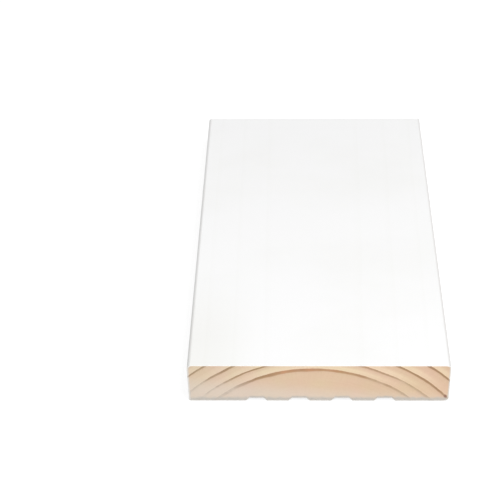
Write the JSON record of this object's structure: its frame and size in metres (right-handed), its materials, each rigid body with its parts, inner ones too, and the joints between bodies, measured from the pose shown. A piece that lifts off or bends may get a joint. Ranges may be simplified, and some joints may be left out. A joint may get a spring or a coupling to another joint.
{
  "type": "door jamb",
  "caption": "Short length of flat door jamb: a white-primed pine board with bevelled edges, eased face corners, relief grooves along its back and bare sawn ends.",
  "frame": {"origin": "on the back plane, which the board lies on, at the middle of its length and width", "axes": "+X across the width, +Y along the length away from the end in view, +Z through the thickness towards the face"},
  "size_m": [0.1172, 0.3048, 0.0175],
  "materials": {
    "primed_pine": "smooth low-sheen white primer on the face, edges and back; both sawn ends are bare pine"
  },
  "bodies": {
    "root": {"jamb_board": "primed_pine"}
  },
  "joints": []
}
